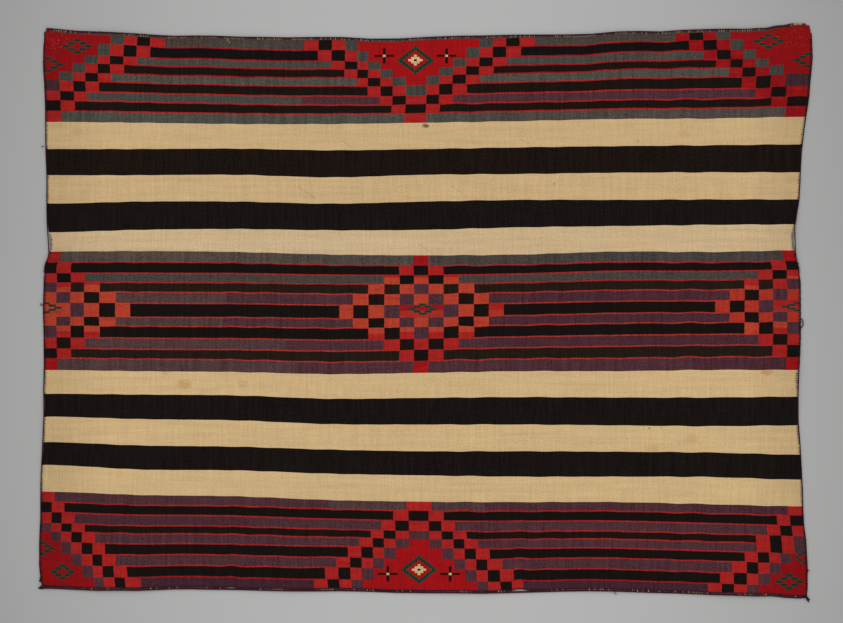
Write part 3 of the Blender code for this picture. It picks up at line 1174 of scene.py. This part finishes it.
def round_tube(loom, path, radius, sides):
    """A round tube with closed ends along a path."""
    ring = loom.node(
        "GeometryNodeCurvePrimitiveCircle",
        {"mode": "RADIUS"},
        {"Resolution": sides, "Radius": radius},
    )
    return loom.node(
        "GeometryNodeCurveToMesh", None, {0: path, "Profile Curve": ring, "Fill Caps": True}
    )


def end_tree(loom, yarns, wool):
    """Ends a tree: its yarns made smooth and real, and of their wool."""
    smooth = loom.node("GeometryNodeSetShadeSmooth", None, {0: yarns})
    real = loom.node("GeometryNodeRealizeInstances", None, {0: smooth})
    dressed = loom.node("GeometryNodeSetMaterial", None, {0: real, "Material": wool})
    loom.node("NodeGroupOutput", None, {0: dressed})
    return loom.tree


def grown(path, tree, sizes):
    """The plain mesh that a tree makes along a path, with the tree's sizes set by name."""
    growth = path.modifiers.new("growth", "NODES")
    growth.node_group = tree
    for item in tree.interface.items_tree:
        if item.item_type == "SOCKET" and item.in_out == "INPUT" and item.name in sizes:
            growth[item.identifier] = sizes[item.name]
    path.update_tag()
    return finished(path, path.name)


def twined_tree():
    """Plies wound round a path: each is a copy of the path pushed out along a turning direction."""
    loom, given = size_tree(
        "twined_cord", ("Plies",), ("Ply radius", "Winding radius", "Turn length", "Step")
    )
    path = loom.node(
        "GeometryNodeResampleCurve",
        {"mode": "LENGTH"},
        {0: given["Geometry"], "Length": given["Step"]},
    )
    copies = loom.node(
        "GeometryNodeDuplicateElements", {"domain": "SPLINE"}, {0: path, "Amount": given["Plies"]}
    )
    ply = Thread(loom, copies.socket.node.outputs[1])
    along = loom.node("GeometryNodeSplineParameter", out=1)
    tangent = loom.node("GeometryNodeInputTangent")
    beside = vector(loom, "NORMALIZE", vector(loom, "CROSS_PRODUCT", tangent, (0.0, 0.0, 1.0)))
    over = vector(loom, "CROSS_PRODUCT", beside, tangent)
    slack = loom.cloud((along * 60.0, ply * 3.0, 0.5), detail=1.0) - 0.5
    turn = (along / given["Turn length"] + ply / given["Plies"] + slack * 0.3) * (2 * math.pi)
    out = given["Winding radius"]
    sideways = vector(loom, "SCALE", beside, turn.wave() * out)
    upwards = vector(loom, "SCALE", over, turn.math("COSINE", turn) * out)
    moved = vector(loom, "ADD", sideways, upwards)
    told = loom.node("GeometryNodeSetPosition", None, {0: copies, "Offset": moved})
    for name, value in (("along", along), ("ply", ply)):
        told = loom.node(
            "GeometryNodeStoreNamedAttribute",
            {"data_type": "FLOAT", "domain": "POINT"},
            {0: told, "Name": name, "Value": value},
        )
    return end_tree(loom, round_tube(loom, told, given["Ply radius"], 6), given["Wool"])


def cord_skin(name, purple, dark, faded):
    """Dark respun wool: each ply a little different, faded where it stands proud, with lint."""
    skin, loom, shader = wool_skin(name, 0.9)
    along = loom.told("along", out=2)
    ply = loom.told("ply", out=2)
    x, y, z = loom.place_mm()
    batch = loom.cloud((along * 9.0, ply * 5.0, 1.0), detail=3.0)
    fibre = loom.cloud((x * 0.9, y * 0.9, z * 2.0), detail=3.0)
    yarn = loom.mix(batch.within(0.35, 0.7), purple, dark)
    yarn = loom.mix(fibre.within(0.55, 0.8) * 0.5, yarn, faded)
    cover(loom, shader, yarn, 0.82 + fibre * 0.15, fibre, 0.6, 0.0005)
    return skin


TWINED = twined_tree()
CORD_WOOL = cord_skin("end_cord_wool", "cord_purple", "cord_dark", "cord_faded")
END_CORD_SIZES = {
    "Plies": 3,
    "Ply radius": 0.00145,
    "Winding radius": 0.0012,
    "Turn length": 0.014,
    "Step": 0.0018,
    "Wool": CORD_WOOL,
}
RUNS = {}
for end in ("top", "bottom"):
    RUNS[end] = end_run(end)
    piece = grown(yarn_path(f"end_cord_{end}_twined", RUNS[end]), TWINED, END_CORD_SIZES)
    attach(piece, "root")
    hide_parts(f"end_cord_{end}")

# ---------------------------------------------------------------------------------------------
# The side cords: two finer plies of the same dark wool, twined down each side as the web was woven
# and passed round the outermost wefts.

# How deep a side cord is drawn into the web's edge, and how much it sways along it.
SIDE_CORD_DRAWN_IN = 0.0004
SIDE_CORD_SWAY = 0.0004


def side_run(side):
    """The middle line of a side cord, from the bottom up."""
    radius = SIDE_CORD_DIAMETER / 2
    outward = (radius - SIDE_CORD_DRAWN_IN) * (1 if side == "right" else -1)
    points = []
    for k in range(GRID_ROWS + 1):
        x, y, z = web_point(1.0 if side == "right" else 0.0, crowded(k / GRID_ROWS))
        sway = SIDE_CORD_SWAY * math.sin(2.3 * k + (0 if side == "left" else 2))
        points.append(Vector((x + outward + sway, y, z + radius)))
    return trimmed(points, *(length * MM for length in CORD_ENDS_MM[side]))


DYES["side_purple"] = (46, 11, 22)
DYES["side_dark"] = (22, 6, 12)
DYES["side_faded"] = (64, 34, 42)
SIDE_WOOL = cord_skin("side_cord_wool", "side_purple", "side_dark", "side_faded")
SIDE_CORD_SIZES = {
    "Plies": 2,
    "Ply radius": 0.00085,
    "Winding radius": 0.0007,
    "Turn length": 0.011,
    "Step": 0.0016,
    "Wool": SIDE_WOOL,
}
for side in ("left", "right"):
    RUNS[side] = side_run(side)
    piece = grown(yarn_path(f"side_cord_{side}_twined", RUNS[side]), TWINED, SIDE_CORD_SIZES)
    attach(piece, "root")
    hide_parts(f"side_cord_{side}")

# ---------------------------------------------------------------------------------------------
# The loops and wraps: along the ends the ivory warp turns show where they pass into the cord, in
# uneven stretches, and down the sides the cord's own plies show where they pass round the wefts.


def loop_tree():
    """Small arched loops set across a path, some left out by chance and in patches."""
    loom, given = size_tree(
        "edge_loops",
        ("Seed",),
        ("Spacing", "Reach", "Rise", "Climb", "Yarn radius", "Share kept", "Unevenness"),
    )
    places = loom.node(
        "GeometryNodeCurveToPoints",
        {"mode": "LENGTH"},
        {0: given["Geometry"], "Length": given["Spacing"]},
    )
    tangent = Thread(loom, places.socket.node.outputs[1])

    def chance(low, high, more):
        sockets = {2: low, 3: high, "Seed": given["Seed"] + more}
        return loom.node("FunctionNodeRandomValue", {"data_type": "FLOAT"}, sockets, out=1)

    where = loom.node("GeometryNodeInputPosition")
    patch = loom.cloud(where, scale=26.0, detail=2.0)
    dropped = (patch.within(0.3, 0.7) * 0.6 + chance(0.0, 0.4, 1)) > given["Share kept"]
    kept = loom.node(
        "GeometryNodeDeleteGeometry", {"domain": "POINT"}, {0: places, "Selection": dropped}
    )
    ways = ((-1.0, 1.0, 2), (-1.0, 1.0, 3), (-0.3, 0.6, 4))
    shift = loom.place(*(chance(*way) * given["Unevenness"] for way in ways))
    shifted = loom.node("GeometryNodeSetPosition", None, {0: kept, "Offset": shift})
    slant = loom.place(0.0, chance(-0.3, 0.3, 5), 0.0)
    turned = loom.node(
        "FunctionNodeAlignRotationToVector",
        {"axis": "X", "pivot_axis": "Z"},
        {"Vector": vector(loom, "ADD", tangent, slant)},
    )
    arch = loom.node(
        "GeometryNodeCurveQuadraticBezier",
        None,
        {
            "Resolution": 5,
            "Start": loom.place(0.0, given["Reach"] * -1.0, 0.0),
            "Middle": loom.place(0.0, 0.0, given["Rise"]),
            "End": loom.place(0.0, given["Reach"], given["Climb"]),
        },
    )
    yarn = round_tube(loom, arch, given["Yarn radius"], 5)
    size = chance(0.8, 1.25, 6)
    loops = loom.node(
        "GeometryNodeInstanceOnPoints",
        None,
        {0: shifted, "Instance": yarn, "Rotation": turned, "Scale": loom.place(size, size, size)},
    )
    return end_tree(loom, loops, given["Wool"])


def warp_skin():
    """Undyed handspun warp, yellowed and grubby where it is bare."""
    skin, loom, shader = wool_skin("warp_wool", 0.9)
    x, y, z = loom.place_mm()
    grime = loom.cloud((x * 0.12, y * 0.12), detail=3.0)
    fibre = loom.cloud((x * 1.2, y * 0.5, z * 1.2), detail=3.0)
    yarn = loom.mix(grime.within(0.35, 0.65), "warp_ivory", "warp_grubby")
    shade = 0.8 + fibre * 0.4
    yarn = loom.mix(1.0, yarn, loom.place(shade, shade, shade), blend="MULTIPLY")
    cover(loom, shader, yarn, 0.84 + fibre * 0.12, fibre, 0.6, 0.0004)
    return skin


DYES["warp_ivory"] = (190, 170, 132)
DYES["warp_grubby"] = (128, 112, 92)
LOOPS = loop_tree()
WARP_WOOL = warp_skin()


def web_edge(edge, start_share=0.0, end_share=1.0, out=0.0, up=0.0, steps=64):
    """Points along the top face of one edge of the web, moved outwards and upwards."""
    points = []
    for k in range(steps + 1):
        share = start_share + (end_share - start_share) * k / steps
        if edge in ("top", "bottom"):
            x, y, z = web_point(share, 1.0 if edge == "top" else 0.0)
            y += out if edge == "top" else -out
        else:
            x, y, z = web_point(1.0 if edge == "right" else 0.0, share)
            x += out if edge == "right" else -out
        points.append(Vector((x, y, z + WEB_THICK + up)))
    return points


EDGE_LOOPS_MM = (
    # edge, from, to, out, up, spacing, reach, rise, climb, radius, uneven, share kept, wool
    ("top", 0.012, 0.976, 0.2, 0.0, 5.6, 1.6, 2.6, 1.5, 0.7, 0.5, 0.52, WARP_WOOL),
    ("bottom", 0.012, 0.99, 0.2, 0.0, 6.4, -1.5, 2.6, 1.5, 0.7, 0.5, 0.34, WARP_WOOL),
    ("left", 0.02, 0.985, -0.4, 0.1, 5.6, 2.2, 1.4, 0.3, 0.9, 0.5, 0.9, SIDE_WOOL),
    ("right", 0.01, 0.975, -0.4, 0.1, 5.6, -2.2, 1.4, 0.3, 0.9, 0.5, 0.9, SIDE_WOOL),
)
LOOP_SIZES = ("Spacing", "Reach", "Rise", "Climb", "Yarn radius", "Unevenness")
for seed, (edge, start, finish, out, up, *sizes, kept, wool) in enumerate(EDGE_LOOPS_MM):
    piece = grown(
        yarn_path(f"loops_{edge}", web_edge(edge, start, finish, out * MM, up * MM)),
        LOOPS,
        {
            **{name: size * MM for name, size in zip(LOOP_SIZES, sizes)},
            "Share kept": kept,
            "Seed": 11 * seed + 5,
            "Wool": wool,
        },
    )
    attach(piece, "root")

# ---------------------------------------------------------------------------------------------
# The tufts: where the cords end at the lower corners, their plies are knotted together and the cut
# ends left to fan out. Each is a wound knot with loose strands of unequal length.

TUFTS = (
    # name, cord, point, heading, length_mm, spread
    ("tuft_bottom_right", "right", 0, -60, 14.0, 12),
    ("tuft_bottom_left", "bottom", 0, -166, 10.0, 16),
    ("tuft_left_side", "left", 0, -101, 12.0, 12),
)
# The knot: its own radius, how far its yarn winds out and rises, and the yarn's radius.
TUFT_KNOT_RADIUS = 0.0020
TUFT_KNOT_OUT, TUFT_KNOT_RISE, TUFT_KNOT_YARN = 0.0011, 0.0008, 0.00085
TUFT_YARNS = 10
TUFT_YARN_RADIUS = 0.0011


def yarn_tube(made, points, radius_at, sides=6):
    """Adds a round closed tube through the points to a bmesh."""
    rings = []
    for k, point in enumerate(points):
        ahead = points[min(k + 1, len(points) - 1)] - points[max(k - 1, 0)]
        across = ahead.cross(Vector((0, 0, 1)))
        across = across.normalized() if across.length > 1e-9 else Vector((1, 0, 0))
        over = across.cross(ahead).normalized()
        radius = radius_at(k / (len(points) - 1))
        rings.append(
            [
                made.verts.new(
                    point
                    + across * (radius * math.cos(2 * math.pi * s / sides))
                    + over * (radius * math.sin(2 * math.pi * s / sides))
                )
                for s in range(sides)
            ]
        )
    for low, high in zip(rings, rings[1:]):
        for s in range(sides):
            made.faces.new((low[s], low[(s + 1) % sides], high[(s + 1) % sides], high[s]))
    made.faces.new(rings[0][::-1])
    made.faces.new(rings[-1])


def yarn_piece(name, made, skin):
    """A bmesh of yarns turned into an object."""
    bmesh.ops.recalc_face_normals(made, faces=made.faces)
    for face in made.faces:
        face.smooth = True
    mesh = mesh_of(name, made)
    mesh.materials.append(skin)
    return laid(name, mesh)


def tuft(name, run, point, heading, length_mm, spread):
    """A tuft at an end of a cord's run: its knot, and its cut yarns fanned out about a heading."""
    end, before = (run[0], run[1]) if point == 0 else (run[-1], run[-2])
    place = end + (end - before).normalized() * (TUFT_KNOT_RADIUS + SEAT_GAP)
    place.z = TUFT_KNOT_RADIUS
    made = bmesh.new()
    # The knot is one yarn wound three times round itself.
    turns = []
    for angle in (k * 2 * math.pi / 10 for k in range(31)):
        x = TUFT_KNOT_OUT * math.cos(angle) * (1 + 0.25 * math.sin(angle * 0.5))
        y = TUFT_KNOT_OUT * math.sin(angle) * (1 + 0.25 * math.cos(angle * 0.5))
        turns.append(place + Vector((x, y, TUFT_KNOT_RISE * math.sin(angle * 0.33))))
    yarn_tube(made, turns, lambda share: TUFT_KNOT_YARN)
    for k in range(TUFT_YARNS):
        side = k / (TUFT_YARNS - 1) - 0.5
        reach = length_mm * MM * (1 - 0.3 * abs(side) - random.uniform(0, 0.22))
        turn = math.radians(heading + spread * side * 1.4)
        curl = math.radians(random.uniform(-14, 14))
        high = random.uniform(0.6, 2.2) * MM
        points = []
        for step in range(7):
            share = step / 6
            bearing = turn + curl * share
            x = place.x + reach * share * math.cos(bearing)
            y = place.y + reach * share * math.sin(bearing)
            arch = (high + 0.0006) * math.sin(math.pi * min(1.0, 0.25 + 0.75 * share))
            points.append(Vector((x, y, TUFT_YARN_RADIUS + 0.0001 + arch)))
        yarn_tube(made, points, lambda share: TUFT_YARN_RADIUS * (1 - 0.55 * share), sides=5)
    piece = yarn_piece(name + "_yarns", made, SIDE_WOOL)
    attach(piece, "root")
    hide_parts(name)
    return piece


random.seed(7)
tufts = [
    tuft(name, RUNS[cord], point, heading, length_mm, spread)
    for name, cord, point, heading, length_mm, spread in TUFTS
]

# ---------------------------------------------------------------------------------------------
# The worn places: at the top right corner the cord has gone and bare warp turns stand out past the
# last wefts, with a scrap of cord beside them. Here and there a side cord's yarn has worked loose.

# Where along the top edge they lie, as shares of its length, and how far out past it.
BARE_WARPS_FROM, BARE_WARPS_TO = 0.9775, 0.9905
CORD_SCRAP_FROM, CORD_SCRAP_TO = 0.9915, 0.9955
WORN_OUT, BARE_WARPS_UP = 0.0022, -0.0002

bare_warps = grown(
    yarn_path(
        "bare_warps",
        web_edge("top", BARE_WARPS_FROM, BARE_WARPS_TO, WORN_OUT, BARE_WARPS_UP, steps=8),
    ),
    LOOPS,
    {
        "Spacing": 0.0029,
        "Reach": 0.0022,
        "Rise": 0.0008,
        "Climb": -0.0006,
        "Yarn radius": 0.0011,
        "Share kept": 2.0,
        "Unevenness": 0.0005,
        "Seed": 3,
        "Wool": WARP_WOOL,
    },
)
cord_scrap = grown(
    yarn_path("cord_scrap", web_edge("top", CORD_SCRAP_FROM, CORD_SCRAP_TO, WORN_OUT, steps=4)),
    TWINED,
    {
        "Plies": 2,
        "Ply radius": 0.0010,
        "Winding radius": 0.0009,
        "Turn length": 0.012,
        "Step": 0.0012,
        "Wool": CORD_WOOL,
    },
)

LOOSE_YARNS_MM = (
    # name, radius, then points along it (x, y, z)
    (
        "right_loop",
        1.25,
        (
            *((900.6, -15.5, 3.6), (902.6, -17.6, 3.8), (904.9, -21.8, 3.0)),
            *((906.0, -27.0, 2.2), (905.6, -32.0, 1.8), (903.6, -36.0, 2.2), (901.0, -37.6, 3.4)),
        ),
    ),
    (
        "left_end_upper",
        0.8,
        ((-918.0, 19.4, 4.2), (-921.0, 18.6, 3.6), (-923.4, 19.4, 2.2), (-925.0, 20.6, 1.4)),
    ),
    (
        "left_end_lower",
        0.8,
        ((-918.0, 16.4, 4.2), (-921.0, 16.6, 3.4), (-923.4, 16.0, 2.0), (-924.8, 14.8, 1.4)),
    ),
    ("left_nub", 1.0, ((-915.6, 397.6, 4.6), (-919.4, 396.6, 3.6), (-921.6, 396.0, 2.0))),
    ("right_nub", 0.9, ((916.4, -618.6, 4.4), (919.6, -620.2, 3.4), (921.8, -621.6, 1.8))),
    (
        "bottom_end",
        0.8,
        ((451.0, -669.0, 5.4), (454.0, -672.6, 3.8), (454.6, -675.6, 2.2), (458.6, -677.6, 1.1)),
    ),
    ("left_low_nub", 0.9, ((-926.4, -661.0, 3.4), (-928.6, -662.4, 2.4), (-929.6, -664.0, 1.4))),
    (
        "left_corner_edge",
        1.2,
        (
            *((-921.6, -634.0, 3.6), (-921.4, -642.0, 3.8)),
            *((-920.8, -650.0, 3.8), (-920.0, -656.0, 3.4)),
        ),
    ),
    (
        "left_corner_low",
        1.9,
        (
            *((-926.8, -662.8, 2.0), (-921.6, -662.0, 3.0)),
            *((-915.6, -661.4, 4.0), (-908.6, -660.8, 4.6)),
        ),
    ),
    (
        "left_corner_high",
        1.9,
        (
            *((-926.0, -661.6, 2.2), (-921.8, -658.4, 3.6)),
            *((-916.6, -656.6, 4.6), (-909.6, -656.6, 4.8)),
        ),
    ),
    (
        "right_corner_tail",
        2.0,
        ((909.8, -679.8, 3.6), (913.0, -685.0, 3.4), (916.4, -690.6, 2.8), (919.4, -695.6, 2.2)),
    ),
)
loose_maker = bmesh.new()
for _name, radius, points in LOOSE_YARNS_MM:
    run = [Vector(point) * MM for point in points]
    steps = [(k, step / 4) for k in range(len(run) - 1) for step in range(4)]
    smooth_run = [curve_at(run, k, part) for k, part in steps] + [run[-1]]
    yarn_tube(loose_maker, smooth_run, lambda share, r=radius: r * MM * (1 - 0.25 * share))
loose_yarns = yarn_piece("loose_yarns", loose_maker, SIDE_WOOL)
for piece, slot in ((bare_warps, "web"), (cord_scrap, "end_cord"), (loose_yarns, "side_cord")):
    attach(piece, "root")

# ---------------------------------------------------------------------------------------------
# The studio: a pale floor, with a painted pool of light, under soft light, and a camera straight
# above the blanket.

VIEW_WIDTH = 2.0232
VIEW_MIDDLE = (-0.0096, 0.0012)
LENS_MM = 85.0
SENSOR_MM = 36.0
FLOOR_HALF = 6.0
FLOOR_DROP = 0.0002
# The floor's shade below the camera, how much painted shade darkens it far out and how much
# painted light brightens it towards the blanket's bottom edge, and its grain.
FLOOR_SHADE, FAR_PAINTED_SHADE, LOW_PAINTED_LIGHT, PAPER_GRAIN = 0.465, 0.19, 0.035, 0.006
AIR_LIGHT = 0.55


def floor_skin():
    """Pale matt paper, with painted shade far out and painted light towards the bottom edge."""
    skin = bpy.data.materials.new("pale_paper")
    skin.use_nodes = True
    loom = Loom(skin.node_tree)
    shader = skin.node_tree.nodes["Principled BSDF"]
    shader.inputs["Roughness"].default_value = 0.95
    shader.inputs["Specular IOR Level"].default_value = 0.1
    inside = loom.node("ShaderNodeTexCoord", out=3)
    x, y, _z = loom.parts(inside)
    # A painted pool of light: painted shade darkens the floor far from the middle, and painted
    # light brightens it low down.
    far = (x * x * 0.55 + y * y * 0.25).within(0.0, 0.9)
    grain = loom.cloud(inside, scale=220.0, detail=3.0) - 0.5
    low = (y * -1.0).within(-0.2, 0.75)
    shade = FLOOR_SHADE - far * FAR_PAINTED_SHADE + low * LOW_PAINTED_LIGHT + grain * PAPER_GRAIN
    colour = loom.place(shade, shade * 0.995, shade * 0.99)
    loom.tree.links.new(colour.socket, shader.inputs["Base Color"])
    return skin


floor_maker = bmesh.new()
bmesh.ops.create_grid(floor_maker, x_segments=8, y_segments=8, size=FLOOR_HALF)
for vertex in floor_maker.verts:
    vertex.co.z = -FLOOR_DROP
floor_mesh = mesh_of("floor", floor_maker)
floor_mesh.materials.append(floor_skin())
floor = laid("floor", floor_mesh)

camera = bpy.data.cameras.new("camera")
camera.sensor_fit = "HORIZONTAL"
camera.sensor_width = SENSOR_MM
camera.lens = LENS_MM
camera.clip_end = 100.0
viewer = laid("camera", camera)
viewer.location = (*VIEW_MIDDLE, VIEW_WIDTH * LENS_MM / SENSOR_MM)
bpy.context.scene.camera = viewer

SOFT_LIGHTS = (
    # name, x, y, z, size, power
    ("left_softbox", -3.2, 1.2, 2.8, 2.4, 48.0),
    ("right_softbox", 3.2, 0.2, 2.8, 2.4, 42.0),
    ("top_softbox", 0.0, 3.4, 3.0, 2.6, 26.0),
    ("bottom_softbox", 0.0, -3.4, 3.0, 2.6, 27.0),
)
for name, x, y, z, size, power in SOFT_LIGHTS:
    light = bpy.data.lights.new(name, "AREA")
    light.shape = "SQUARE"
    light.size = size
    light.energy = power
    lamp = laid(name, light)
    lamp.location = (x, y, z)
    lamp.rotation_euler = Vector((x, y, z)).to_track_quat("Z", "Y").to_euler()

world = bpy.data.worlds.new("studio_air")
world.use_nodes = True
sky = world.node_tree.nodes["Background"]
sky.inputs["Color"].default_value = (1.0, 1.0, 1.0, 1.0)
sky.inputs["Strength"].default_value = AIR_LIGHT
bpy.context.scene.world = world
bpy.context.scene.view_settings.view_transform = "Standard"
bpy.context.scene.view_settings.look = "None"

bpy.context.view_layer.update()
